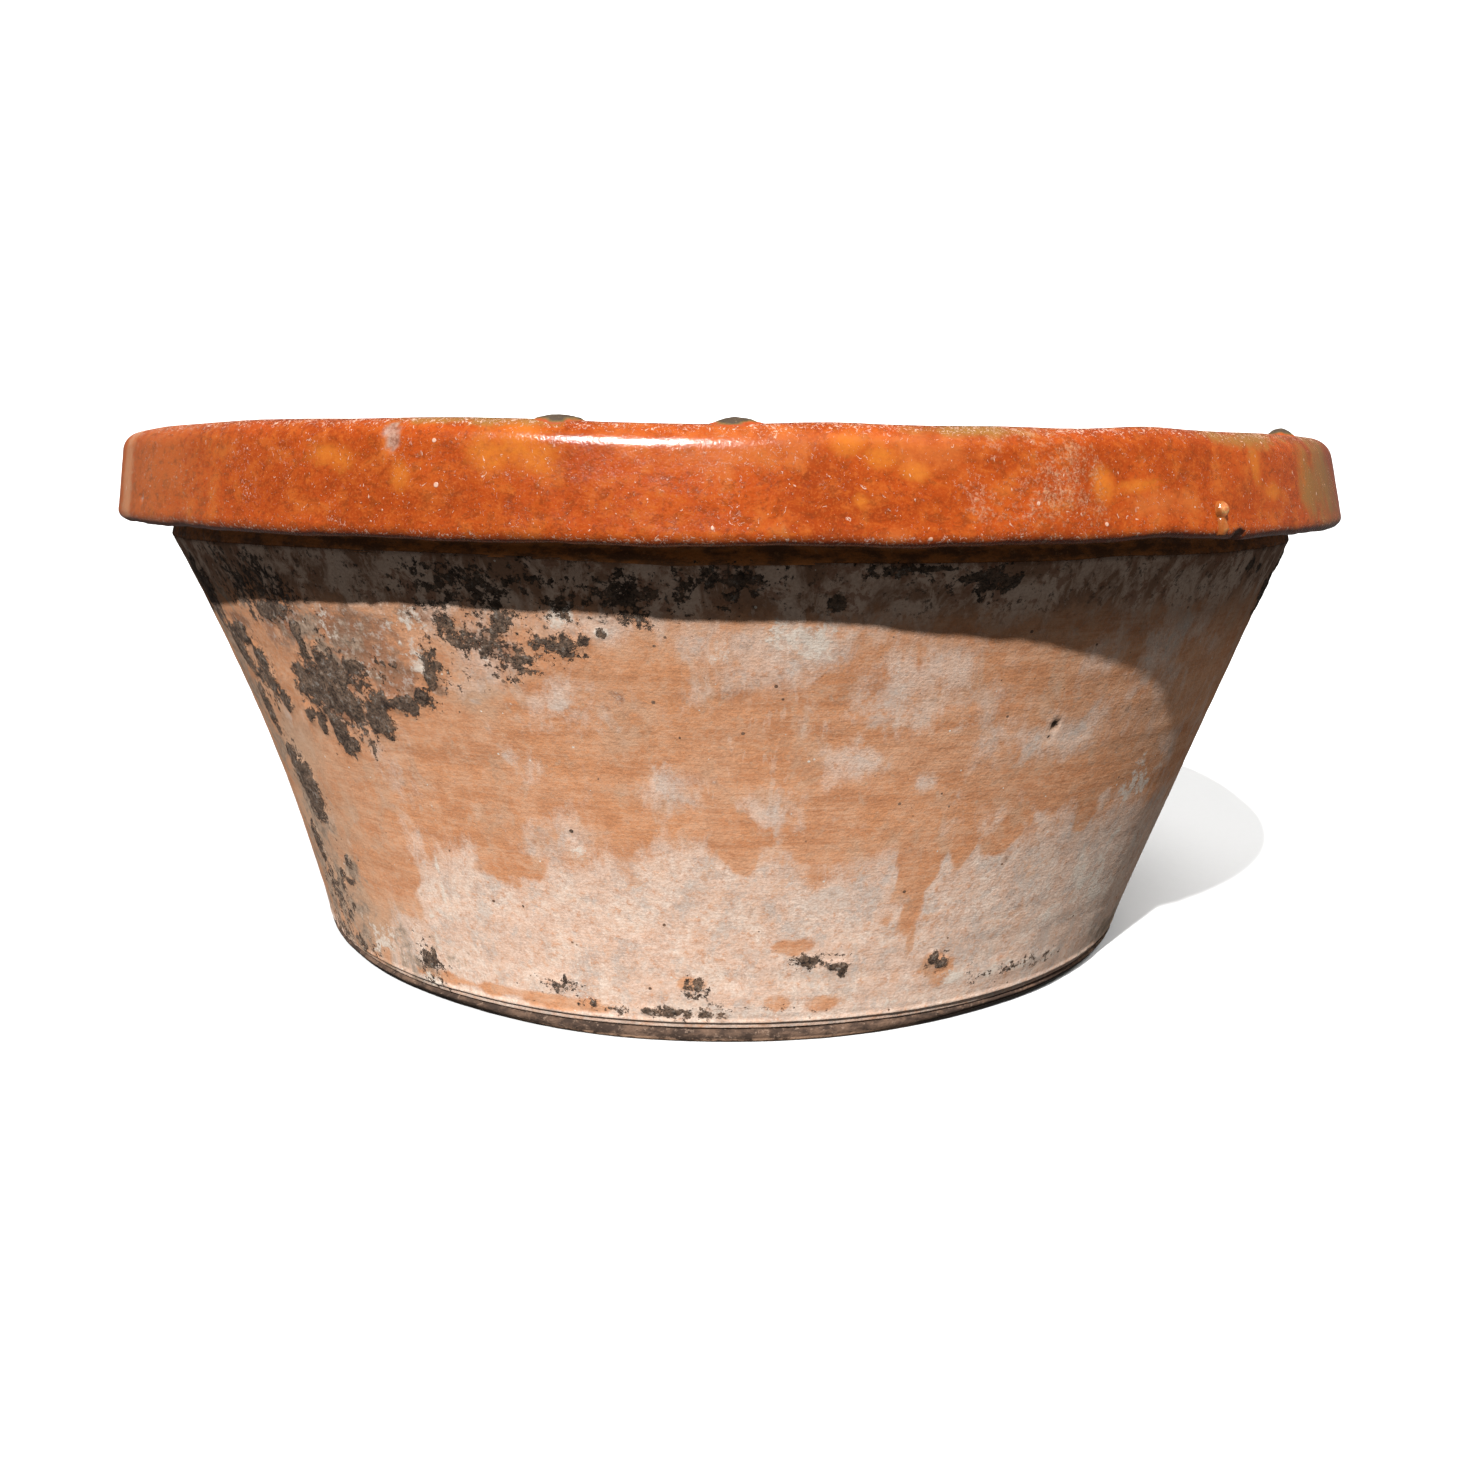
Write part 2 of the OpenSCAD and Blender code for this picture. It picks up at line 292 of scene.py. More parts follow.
def marks(skin, table, rough, seed):
    """0 to 1 field of the marks in a table: 0.5 at their edge, which noise breaks up"""
    field = np.full(skin.angle.shape, -1.0)
    for mark in table:
        field = np.maximum(field, 1 - skin.gap(*mark))
    return np.clip(0.5 + 0.5 * (field + rough * skin.noise(9 * MM, seed)), 0, 1)


# -------- the pot's section

def arc(centre, radius, start, stop, count=24):
    """Points of an arc in the (radius, height) plane, angles in radians"""
    turn = np.linspace(start, stop, count)
    return np.stack([centre[0] + radius * np.cos(turn), centre[1] + radius * np.sin(turn)], -1)


def run_of(line):
    """Distance along a line up to each of its points"""
    return np.concatenate([[0], np.cumsum(np.linalg.norm(np.diff(line, axis=0), axis=1))])


def points_at(line, places):
    """Points of a line at distances along it"""
    run = run_of(line)
    return np.stack([np.interp(places, run, line[:, k]) for k in (0, 1)], -1)


def along(points, step):
    """The same line with points about a step apart"""
    points = np.asarray(points, float)
    length = run_of(points)[-1]
    return points_at(points, np.linspace(0, length, max(2, round(length / step) + 1)))


def touch_angle(c0, r0, c1, r1):
    """Direction of the normal of the line that touches two circles on their outer side"""
    gap = np.subtract(c1, c0)
    return np.arctan2(gap[1], gap[0]) - np.arccos((r0 - r1) / np.hypot(*gap))


LOW_C = (RIM_R - LOW_EDGE_R, RIM_LOW + LOW_EDGE_R)
TOP_C = (RIM_R - RIM_LEAN - TOP_EDGE_R, RIM_TOP - TOP_EDGE_R)
INNER_C = (LIP_R + INNER_EDGE_R, LIP_Z)
FACE_TURN = touch_angle(LOW_C, LOW_EDGE_R, TOP_C, TOP_EDGE_R)
CREST_TURN = 2 * pi + touch_angle(TOP_C, TOP_EDGE_R, INNER_C, INNER_EDGE_R)

CHORD = Vector((NECK_R - FOOT_R, NECK_Z - SPRING_Z))
BOW_R = (CHORD.length ** 2 / 4 + WALL_BOW ** 2) / (2 * WALL_BOW)
BOW_C = (
    (FOOT_R + NECK_R) / 2 + (BOW_R - WALL_BOW) * CHORD.normalized().y,
    (SPRING_Z + NECK_Z) / 2 - (BOW_R - WALL_BOW) * CHORD.normalized().x,
)


def wall_radius(height, depth=0.0):
    """Radius of the wall's outer arc at a height, or of the arc that lies that deep under it"""
    return BOW_C[0] - np.sqrt((BOW_R + depth) ** 2 - (height - BOW_C[1]) ** 2)


def wall_arc(low, high, depth=0.0, count=60):
    """The wall's arc between two heights, from the lower to the higher"""
    heights = np.linspace(low, high, count)
    return np.stack([wall_radius(heights, depth), heights], -1)


def rim_section(depth):
    """The rim's skin from its underside over the crest to the lip, or a line that deep under it"""
    return np.concatenate([
        arc(LOW_C, LOW_EDGE_R - depth, -pi / 2, FACE_TURN),
        arc(TOP_C, TOP_EDGE_R - depth, FACE_TURN, CREST_TURN),
        arc(INNER_C, INNER_EDGE_R - depth, CREST_TURN, pi),
    ])


def bowl_section(depth):
    """The clay's inner surface from the end of the cove to the rim's seat, or a coat on it"""
    cove_z = FLOOR_Z + MM + COVE_R
    cove_x = BOW_C[0] - np.sqrt((BOW_R + WALL_T + COVE_R) ** 2 - (cove_z - BOW_C[1]) ** 2)
    out = np.arctan2(BOW_C[1] - cove_z, BOW_C[0] - cove_x)
    cove = arc((cove_x, cove_z), COVE_R - depth, -pi / 2, out)
    return np.concatenate([cove, wall_arc(cove[-1][1] + MM, SEAT_Z, WALL_T + depth)])


# -------- meshes

FRONT_HALF = radians(108)
FRONT_STEP = radians(0.34)
BACK_STEP = radians(0.8)


def fine_columns():
    """Angles round the pot, closer together over the front half"""
    front = np.arange(-FRONT_HALF, FRONT_HALF, FRONT_STEP)
    back = np.arange(FRONT_HALF, 2 * pi - FRONT_HALF, BACK_STEP)
    return np.concatenate([front, back])


def even_columns(count):
    """Angles round the pot at equal steps"""
    return np.arange(count) * 2 * pi / count - pi


def swells(table, angle):
    """Sum of smooth swells round the rim: each has an angle and a half width in degrees, and a height"""
    return sum(size * np.exp(-((angle - radians(at)) / radians(half)) ** 2) for at, half, size in table)


def thrown(radius, angle, height):
    """Turned points, moved by the pot's lean, its oval rim and the rim's waves"""
    up = smooth(0.5 * RIM_TOP, RIM_TOP, height)
    radius = radius + up * OVAL * np.cos(2 * angle + 0.9)
    wave = sum(size * np.cos(count * angle + turn) for count, size, turn in RIM_WAVES)
    wave = wave + swells(RIM_BUMPS, angle)
    edge = smooth(NECK_Z + MM, RIM_LOW, height) * smooth(RIM_LOW + 16 * MM, RIM_LOW + 2 * MM, height)
    middle = np.sin(pi * np.clip(height / RIM_TOP, 0, 1))
    radius = radius + BULGE * middle
    lean = LEAN * middle + RIM_SHIFT * up
    high = height + up * wave + edge * swells(RIM_SAGS, angle)
    return np.stack([radius * np.sin(angle) + lean, -radius * np.cos(angle), high], -1)


def section_grid(section, angles):
    """Radius, angle, height and outward normal of every point of a section turned through the angles"""
    section = np.asarray(section)
    step = np.gradient(section, axis=0)
    normal = np.stack([step[:, 1], -step[:, 0]], -1)
    normal /= np.maximum(np.linalg.norm(normal, axis=1, keepdims=True), 1e-9)
    angle = np.repeat(angles[None, :], len(section), axis=0)
    lines = (*section.T, *normal.T)
    radius, height, out, up = (np.repeat(line[:, None], len(angles), axis=1) for line in lines)
    return radius, angle, height, out, up


def raised(section, angles, relief=None):
    """Points of a turned section after a relief along its normals, and its skin before the relief"""
    radius, angle, height, out, up = section_grid(section, angles)
    skin = Skin(radius, angle, height)
    lift = relief(skin) if relief else 0
    return thrown(radius + out * lift, angle, height + up * lift), skin


def new_piece(name, points, faces):
    """Smooth mesh object from points and faces"""
    mesh = bpy.data.meshes.new(name)
    mesh.from_pydata(np.asarray(points).tolist(), [], np.asarray(faces).tolist())
    mesh.shade_smooth()
    mesh.validate()
    piece = bpy.data.objects.new(name, mesh)
    bpy.context.scene.collection.objects.link(piece)
    return piece


def turned_piece(name, *grids):
    """Piece from grids of points whose rows follow each other round its section and close it"""
    points = np.concatenate(grids)
    rows, columns = points.shape[:2]
    at = np.arange(rows * columns).reshape(rows, columns)
    above = np.roll(at, -1, axis=0)
    faces = np.stack([at, np.roll(at, -1, axis=1), np.roll(above, -1, axis=1), above], -1)
    return new_piece(name, points.reshape(-1, 3), faces.reshape(-1, 4))


def paint(piece, name, values):
    """Stores one number per point for the materials, and 0 for the hidden points that come last"""
    padded = np.zeros(len(piece.data.vertices), np.float32)
    padded[:values.size] = values.ravel()
    attribute = piece.data.attributes.new(name, "FLOAT", "POINT")
    attribute.data.foreach_set("value", padded)


def paint_marks(piece, skin, fields):
    for name, field in fields.items():
        paint(piece, name, marks(skin, *field))


def finish_piece(piece, node, material):
    """Puts a piece in the place of its CAD node"""
    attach(piece, "root")
    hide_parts(node)
    piece.data.materials.append(material)


# -------- relief of the surfaces

def pit_depth(skin):
    """Depth of the small burst holes in the wall"""
    gaps = [(deep, skin.gap(at, up, size, size)) for at, up, size, deep in PITS]
    return np.max([deep * MM * smooth(1.15, 0.6, gap) for deep, gap in gaps], axis=0)


def wall_relief(skin):
    crust = smooth(0.46, 0.56, marks(skin, *WALL_MARKS["lichen"]))
    grains = smooth(0.5, 0.62, marks(skin, *WALL_MARKS["speckle"]))
    lime = smooth(0.5, 0.6, marks(skin, LIME, *WALL_MARKS["lime"][1:]))
    lift = 0.35 * MM * skin.noise(70 * MM, 31)
    lift += 0.1 * MM * skin.rings(5 * MM, 37)
    lift += 0.05 * MM * skin.noise(3.5 * MM, 41, 2)
    lift += crust * MM * (0.45 + 0.35 * skin.noise(3 * MM, 43, 2))
    lift += grains * MM * 0.3 * np.clip(skin.noise(2.6 * MM, 47, 1), 0, 1)
    lift += lime * 0.09 * MM * (1 + skin.noise(3 * MM, 53, 2))
    return lift - pit_depth(skin)


def chip_depth(skin):
    """Depth of the chips in the rim"""
    return np.max([deep * MM * smooth(1.1, 0.75, skin.gap(*chip)) for *chip, deep in CHIPS], axis=0)


def rim_swell(skin):
    """The rim's slow changes of thickness"""
    return 0.4 * MM * skin.noise(45 * MM, 61, 2)


def rim_relief(skin):
    low_edge = smooth(RIM_LOW + 6 * MM, RIM_LOW, skin.height)
    sand = smooth(0.45, 0.7, marks(skin, *RIM_MARKS["sand"]))
    lift = rim_swell(skin)
    lift += 0.07 * MM * skin.rings(7 * MM, 67)
    lift += 0.035 * MM * skin.noise(5 * MM, 71, 2)
    lift += low_edge * 0.3 * MM * skin.noise(9 * MM, 73)
    lift += sand * 0.12 * MM * skin.noise(2.5 * MM, 79, 1)
    lift += 0.9 * MM * smooth(1, 0, skin.gap(*GLAZE_BEAD))
    return lift - chip_depth(skin)


# -------- pieces

def make_wall():
    angles = fine_columns()
    foot = [
        (FOOT_EDGE_R - 1.2 * MM, SEAM_Z + 0.25 * MM), (FOOT_EDGE_R - 0.3 * MM, SEAM_Z + 0.4 * MM),
        (FOOT_EDGE_R, SEAM_Z + 0.9 * MM), (FOOT_EDGE_R + 0.1 * MM, UNDERCUT_Z - 0.5 * MM),
        (FOOT_EDGE_R + 0.4 * MM, UNDERCUT_Z), (FOOT_R - 0.6 * MM, UNDERCUT_Z + 0.15 * MM),
        (FOOT_R - 0.15 * MM, UNDERCUT_Z + 0.7 * MM),
    ]
    outer = np.concatenate([foot, along(wall_arc(SPRING_Z - 1.2 * MM, NECK_Z + 0.6 * MM), 1.7 * MM)])
    points, skin = raised(outer, angles, wall_relief)
    inner = np.concatenate([
        [(NECK_R - 2.4 * MM, NECK_Z + MM), (NECK_R - 2.4 * MM, SEAT_Z)],
        along(bowl_section(-3.2 * MM)[::-1], 24 * MM),
        [(FOOT_EDGE_R - LEDGE_W, FLOOR_Z), (FOOT_EDGE_R - LEDGE_W, SEAM_Z + 0.25 * MM)],
    ])
    hidden, _ = raised(inner, angles)
    piece = turned_piece("wall_clay", points, hidden)
    paint_marks(piece, skin, WALL_MARKS)
    paint(piece, "bloom", bloom_field(skin))
    # Mask of the burst holes' dents, darkened as painted shade
    paint(piece, "pit", smooth(0.1 * MM, 0.7 * MM, pit_depth(skin)))
    finish_piece(piece, "wall", wall_material())


def bloom_field(skin):
    """Chalky salts: the lowest third all round, with runs of bare clay let into it and clouds above it"""
    left = smooth(radians(-30), radians(-48), skin.angle) * smooth(radians(-110), radians(-70), skin.angle)
    edge = 72 * MM - 58 * MM * left + 9 * MM * skin.noise(45 * MM, 97)
    low = 0.5 + 0.5 * np.clip((edge - skin.height) / (14 * MM), -1, 1)
    clouds = marks(skin, BLOOM, 0.7, 101)
    bare = marks(skin, BARE, 0.6, 103)
    return np.clip(np.maximum(low, 0.72 * clouds) - 0.8 * smooth(0.35, 0.7, bare), 0, 1)


def make_base():
    angles = even_columns(480)
    edge = [
        (FOOT_EDGE_R - 1.5 * MM, SEAM_Z - 0.05 * MM), (FOOT_EDGE_R - 0.5 * MM, SEAM_Z - 0.25 * MM),
        (FOOT_EDGE_R, SEAM_Z - 0.8 * MM), (FOOT_EDGE_R + 0.15 * MM, SEAM_Z * 0.5),
        (FOOT_EDGE_R - 0.1 * MM, FOOT_BEVEL), (FOOT_EDGE_R - 0.5 * MM, 0.5 * MM),
        (FOOT_EDGE_R - FOOT_BEVEL, 0),
    ]
    under = along([(FOOT_EDGE_R - FOOT_BEVEL - MM, 0), (0.5 * MM, 0)], 3 * MM)
    top = [(0.5 * MM, FLOOR_Z), (FOOT_EDGE_R - LEDGE_W, FLOOR_Z), (FOOT_EDGE_R - LEDGE_W, SEAM_Z)]

    def relief(skin):
        rim = smooth(FOOT_EDGE_R - 12 * MM, FOOT_EDGE_R - 2 * MM, skin.radius)
        return 0.22 * MM * skin.noise(7 * MM, 107) * rim * smooth(0, 1.5 * MM, skin.height)

    side, _ = raised(edge, angles, relief)
    bottom, _ = raised(under, angles)
    bottom[..., 2] += np.abs(0.15 * MM * fractal(bottom, 12 * MM, 109))
    bottom[..., 2] += 0.1 * MM * (1 + np.cos(np.hypot(bottom[..., 0], bottom[..., 1]) / (7 * MM) * 2 * pi))
    inside, _ = raised(top, angles)
    points = np.concatenate([side, bottom, inside])
    away = np.hypot(points[..., 0], points[..., 1])
    worn = smooth(FOOT_EDGE_R - 12 * MM, FOOT_EDGE_R - MM, away) * smooth(4.4 * MM, MM, points[..., 2])
    points[..., 2] += FOOT_WEAR * worn * smooth(radians(10), radians(36), np.abs(angles))
    points[..., 2] = np.maximum(points[..., 2], 0)
    piece = turned_piece("base_clay", points)
    finish_piece(piece, "base_slab", base_material())


def make_neck():
    angles = fine_columns()
    face = along([
        (NECK_R - 0.7 * MM, NECK_Z - 0.2 * MM), (NECK_R - 0.1 * MM, NECK_Z + 0.3 * MM),
        (NECK_R, NECK_Z + MM), (NECK_R - 1.0 * MM, NECK_Z + 5 * MM), (NECK_R - 1.0 * MM, SEAT_Z),
    ], 0.6 * MM)

    def relief(skin):
        return 0.18 * MM * skin.noise(12 * MM, 113) + 0.08 * MM * skin.rings(2.5 * MM, 127)

    points, skin = raised(face, angles, relief)
    back, _ = raised([(NECK_R - 2.3 * MM, SEAT_Z), (NECK_R - 2.3 * MM, NECK_Z - 0.2 * MM)], angles)
    piece = turned_piece("neck_clay", points, back)
    paint(piece, "speckle", marks(skin, *WALL_MARKS["speckle"]))
    finish_piece(piece, "neck_band", neck_material())


def make_rim_core():
    seat = [(LIP_CLAY_R - 0.1 * MM, SEAT_Z)]
    section = np.concatenate([seat, along(rim_section(GLAZE_T + 0.5 * MM), 4 * MM)])
    points, _ = raised(section, even_columns(360), rim_swell)
    piece = turned_piece("rim_clay", points)
    finish_piece(piece, "rim_roll", core_material())


def make_rim_glaze():
    angles = fine_columns()
    under = along([(NECK_R - 1.2 * MM, RIM_LOW + 0.2 * MM), (LOW_C[0], RIM_LOW)], 1.4 * MM)
    outside = np.concatenate([under[:-1], along(rim_section(0), 0.95 * MM)])
    points, skin = raised(outside, angles, rim_relief)
    inner = along(rim_section(GLAZE_T), 5 * MM)
    back, _ = raised(inner, angles, lambda hidden: rim_swell(hidden) - 1.5 * MM)
    piece = turned_piece("rim_glaze_coat", points, back[::-1])
    paint_marks(piece, skin, RIM_MARKS)
    front = skin.radius > (LOW_C[0] + INNER_C[0]) / 2
    low_edge = smooth(RIM_LOW + 7 * MM, RIM_LOW + MM, skin.height)
    edges = np.maximum(low_edge, smooth(RIM_TOP - 6 * MM, RIM_TOP - MM, skin.height))
    paint(piece, "edge", edges * front)
    paint(piece, "chip", smooth(0.2 * MM, 0.6 * MM, chip_depth(skin)))
    # Mask of the rim's underside, where the glaze colour is darkened as painted shade
    below = smooth(RIM_LOW + 0.9 * MM, RIM_LOW + 0.3 * MM, skin.height)
    paint(piece, "under", below * smooth(LOW_C[0] + 2 * MM, LOW_C[0] - MM, skin.radius))
    finish_piece(piece, "rim_glaze", rim_material())


def make_inner_glaze():
    angles = even_columns(480)
    rise = along(bowl_section(GLAZE_T), 1.7 * MM)
    floor_end = rise[0][0] - MM
    floor = along([(0.5 * MM, FLOOR_Z + POOL_T), (floor_end, FLOOR_Z + POOL_T)], 2.4 * MM)
    lip = along([(rise[-1][0], SEAT_Z + 1.5 * MM), (LIP_R, LIP_Z)], 2 * MM)

    def relief(skin):
        """Throwing spiral and slow waves, which fade at the lip"""
        spiral = np.sin(2 * pi * (skin.radius + skin.height) / (11 * MM) + skin.angle)
        lift = 0.25 * MM * spiral * smooth(20 * MM, 60 * MM, skin.radius)
        lift += 0.4 * MM * skin.noise(50 * MM, 157)
        return -lift * smooth(LIP_Z, LIP_Z - 12 * MM, skin.height)

    points, skin = raised(np.concatenate([floor, rise, lip]), angles, relief)
    back_line = np.concatenate([
        [(LIP_CLAY_R, LIP_Z)], along(bowl_section(-0.3 * MM)[::-1], 8 * MM), [(0.5 * MM, FLOOR_Z)],
    ])
    back, _ = raised(back_line, angles)
    piece = turned_piece("inner_glaze_coat", points, back)
    paint(piece, "level", skin.height / RIM_TOP)
    finish_piece(piece, "inner_glaze", inner_material())


def dome_patch(angle_at, run_at, half_w, half_run, tall, shape, seed, line):
    """Points and faces of a lump that stands on the rim: a fine grid over its skin, raised by a dome"""
    side = 44
    across = np.linspace(-1, 1, side)
    section = points_at(line, run_at + across * half_run)
    radius, angle, height, out, up = section_grid(section, radians(angle_at) + across * half_w / RIM_R)
    skin = Skin(radius, angle, height)
    dome = shape(*np.meshgrid(across, across))
    lift = rim_relief(skin) + tall * dome
    lift += tall * 0.22 * skin.noise(3 * MM, seed, 2) * smooth(0, 0.3, dome)
    lift = np.where(dome > 0, lift, lift - 0.5 * MM)
    top = thrown(radius + out * lift, angle, height + up * lift)
    under = thrown(radius - out * 0.7 * MM, angle, height - up * 0.7 * MM)
    points = np.concatenate([top.reshape(-1, 3), under.reshape(-1, 3)])
    at = np.arange(side * side).reshape(side, side)
    upper = np.stack([at[:-1, :-1], at[:-1, 1:], at[1:, 1:], at[1:, :-1]], -1).reshape(-1, 4)
    lower = upper[:, ::-1] + side * side
    ring = np.concatenate([at[0], at[1:, -1], at[-1, -2::-1], at[-2:0:-1, 0]])
    after = np.roll(ring, -1)
    walls = np.stack([after, ring, ring + side * side, after + side * side], -1)
    return points, np.concatenate([upper, lower, walls]), dome


def joined(name, patches):
    """One piece from several patches, with each one's dome height painted on"""
    points, faces, tops, start = [], [], [], 0
    for patch_points, patch_faces, dome in patches:
        points.append(patch_points)
        faces.append(patch_faces + start)
        tops.append(np.concatenate([dome.ravel(), np.zeros(dome.size)]))
        start += len(patch_points)
    piece = new_piece(name, np.concatenate(points), np.concatenate(faces))
    paint(piece, "top", np.concatenate(tops))
    return piece


def rim_run(height, line):
    """Distance along the rim's skin at which its outer face reaches a height"""
    crest = int(np.argmax(line[:, 1]))
    return np.interp(height, line[:crest, 1], run_of(line)[:crest])


def scar(turn):
    """Shape of a low hump with a wavy outline"""
    def shape(u, v):
        way = np.arctan2(v, u)
        edge = 0.86 + 0.08 * np.sin(3 * way + turn) + 0.05 * np.sin(7 * way - turn)
        return np.clip(1 - (np.hypot(u, v) / edge) ** 2, 0, 1) ** 1.3
    return shape


def bead(u, v):
    """Shape of a round head with a thinner tail under it"""
    head = np.clip(1 - np.hypot(u / 0.95, (v - 0.45) / 0.5) ** 2, 0, 1) ** 0.5
    tail = np.clip(1 - (u / 0.7) ** 2, 0, 1) ** 0.5 * smooth(-1.0, -0.75, v) * smooth(0.6, 0.2, v) * 0.6
    return np.maximum(head, tail)


def make_lumps():
    line = along(rim_section(0), 0.5 * MM)
    crest = rim_run(RIM_TOP - 0.05 * MM, line) + 2.8 * MM
    patches = [
        dome_patch(at, crest, half_w * MM, half_run * MM, tall * MM, scar(turn), seed, line)
        for at, half_w, half_run, tall, turn, seed in LUMPS
    ]
    finish_piece(joined("kiln_scars", patches), "kiln_lumps", lump_material())


def make_drip():
    line = along(rim_section(0), 0.5 * MM)
    patch = dome_patch(36.0, rim_run(180.4 * MM, line), 2.7 * MM, 5.4 * MM, 2.4 * MM, bead, 179, line)
    finish_piece(joined("glaze_run", [patch]), "glaze_drip", drip_material())


# -------- materials

class Nodes:
    """One material's node tree, with a short call for each kind of node"""

    def __init__(self, name):
        self.material = bpy.data.materials.new(name)
        self.material.use_nodes = True
        self.tree = self.material.node_tree
        self.surface = self.tree.nodes["Principled BSDF"]
        self.place = self.tree.nodes.new("ShaderNodeTexCoord").outputs["Object"]

    def link(self, value, socket):
        if isinstance(value, bpy.types.NodeSocket):
            self.tree.links.new(value, socket)
        elif isinstance(value, tuple) and len(value) == 3 and socket.type == "RGBA":
            socket.default_value = (*value, 1)
        else:
            socket.default_value = value

    def add(self, kind, **settings):
        node = self.tree.nodes.new(kind)
        for name, value in settings.items():
            setattr(node, name, value)
        return node

    def mapped(self, **settings):
        """The place on the pot, moved or stretched by the sockets of a Mapping node"""
        node = self.add("ShaderNodeMapping")
        self.link(self.place, node.inputs["Vector"])
        for name, value in settings.items():
            node.inputs[name].default_value = value
        return node.outputs["Vector"]

    def noise(self, size, stretch=None, detail=4.0, rough=0.55, warp=0.0):
        """Noise about 0 to 1 with features of a size; stretch above 1 shortens them along that axis"""
        node = self.add("ShaderNodeTexNoise")
        self.link(self.mapped(Scale=stretch) if stretch else self.place, node.inputs["Vector"])
        node.inputs["Scale"].default_value = 1 / size
        node.inputs["Detail"].default_value = detail
        node.inputs["Roughness"].default_value = rough
        node.inputs["Distortion"].default_value = warp
        return node.outputs["Fac"]

    def cells(self, size, place=None, **settings):
        """Distance in a pattern of cells, in cells"""
        node = self.add("ShaderNodeTexVoronoi", **settings)
        self.link(place or self.place, node.inputs["Vector"])
        node.inputs["Scale"].default_value = 1 / size
        return node.outputs["Distance"]

    def attribute(self, name):
        return self.add("ShaderNodeAttribute", attribute_name=name).outputs["Fac"]

    def math(self, operation, a, b, clamp=False):
        node = self.add("ShaderNodeMath", operation=operation, use_clamp=clamp)
        self.link(a, node.inputs[0])
        self.link(b, node.inputs[1])
        return node.outputs[0]

    def height(self):
        """Height above the ground"""
        node = self.add("ShaderNodeSeparateXYZ")
        self.link(self.place, node.inputs[0])
        return node.outputs["Z"]

    def both(self, a, b):
        return self.math("MULTIPLY", a, b)

    def most(self, *values):
        return reduce(lambda a, b: self.math("MAXIMUM", a, b), values)

    def total(self, *terms):
        """Sum of values, each given with its weight"""
        return reduce(lambda a, b: self.math("ADD", a, b), [self.both(*term) for term in terms])

    def step(self, value, low, high, to_low=0.0, to_high=1.0):
        """Smooth step of a value between low and high"""
        node = self.add("ShaderNodeMapRange", interpolation_type="SMOOTHSTEP")
        for name, number in zip(("Value", *RANGE_SOCKETS), (value, low, high, to_low, to_high)):
            self.link(number, node.inputs[name])
        return node.outputs["Result"]

    def mix(self, factor, a, b):
        node = self.add("ShaderNodeMix", data_type="RGBA")
        self.link(factor, node.inputs["Factor"])
        self.link(a, node.inputs[6])
        self.link(b, node.inputs[7])
        return node.outputs[2]

    def layers(self, colour, *layers):
        """Colours laid over the first: each has a noise, where that starts and ends, and a strength"""
        for noise, low, high, strength, over in layers:
            colour = self.mix(self.step(noise, low, high, 0, strength), colour, over)
        return colour

    def cover(self, name, noise, sharp, soft, least=None):
        """Where a painted field is covered: the noise shows above least at 1, and ever less below"""
        level = sharp + (0.5 - sharp / 2 if least is None else least)
        total = self.math("ADD", noise, self.both(self.attribute(name), sharp))
        return self.step(total, level - soft, level + soft)

    def painted_hole_shade(self, at, up, size, noise):
        """Painted shade of a small round hole in the wall: where its round dark spot lies, at an angle in
        degrees and a height in mm
        """
        node = self.add("ShaderNodeVectorMath", operation="DISTANCE")
        self.link(self.place, node.inputs[0])
        angle, high = np.array(radians(at)), np.array(up * MM)
        node.inputs[1].default_value = tuple(thrown(wall_radius(high), angle, high))
        away = self.math("ADD", node.outputs["Value"], self.both(noise, size))
        return self.step(away, 1.6 * size, 1.3 * size)

    def dots(self, spacing, size, shift=0.0):
        """Scattered round specks; size is in spacings"""
        away = self.cells(spacing, self.mapped(Location=(shift, shift, shift)))
        limit = self.step(self.noise(spacing * 0.9, detail=1), 0.52, 0.68, 0.0, size)
        return self.step(self.math("SUBTRACT", limit, away), -0.02, 0.02)

    def relief(self, height, distance, strength=1.0, under=None):
        node = self.add("ShaderNodeBump")
        node.inputs["Distance"].default_value = distance
        node.inputs["Strength"].default_value = strength
        self.link(height, node.inputs["Height"])
        if under is not None:
            self.link(under, node.inputs["Normal"])
        return node.outputs["Normal"]

    def done(self, colour, roughness, normal=None, **sockets):
        self.link(colour, self.surface.inputs["Base Color"])
        self.link(roughness, self.surface.inputs["Roughness"])
        if normal is not None:
            self.link(normal, self.surface.inputs["Normal"])
        for name, value in sockets.items():
            self.surface.inputs[name.replace("_", " ")].default_value = value
        return self.material


RANGE_SOCKETS = ("From Min", "From Max", "To Min", "To Max")

# Colours of the bare clay and of what grew or settled on it
ORANGE = (0.56, 0.245, 0.112)
DEEP_ORANGE = (0.46, 0.185, 0.08)
SALMON = (0.59, 0.335, 0.205)
TAN_CLAY = (0.47, 0.3, 0.195)
CREAM = (0.72, 0.58, 0.48)
PINK_CHALK = (0.67, 0.48, 0.375)
GREY_CHALK = (0.5, 0.43, 0.375)
LIME_WHITE = (0.66, 0.585, 0.5)
BROWN = (0.2, 0.105, 0.062)
RUST_RED = (0.31, 0.125, 0.06)
# Band under the rim: grey-brown grime whose dark and red colours are also painted shade of the rim's
# overhang
BAND_DARK = (0.24, 0.13, 0.08)
BAND_PALE = (0.66, 0.49, 0.38)
BAND_RED = (0.21, 0.08, 0.042)
SOOT = (0.022, 0.017, 0.014)
CRUST_BROWN = (0.095, 0.066, 0.048)
CRUST_GREY = (0.26, 0.235, 0.205)


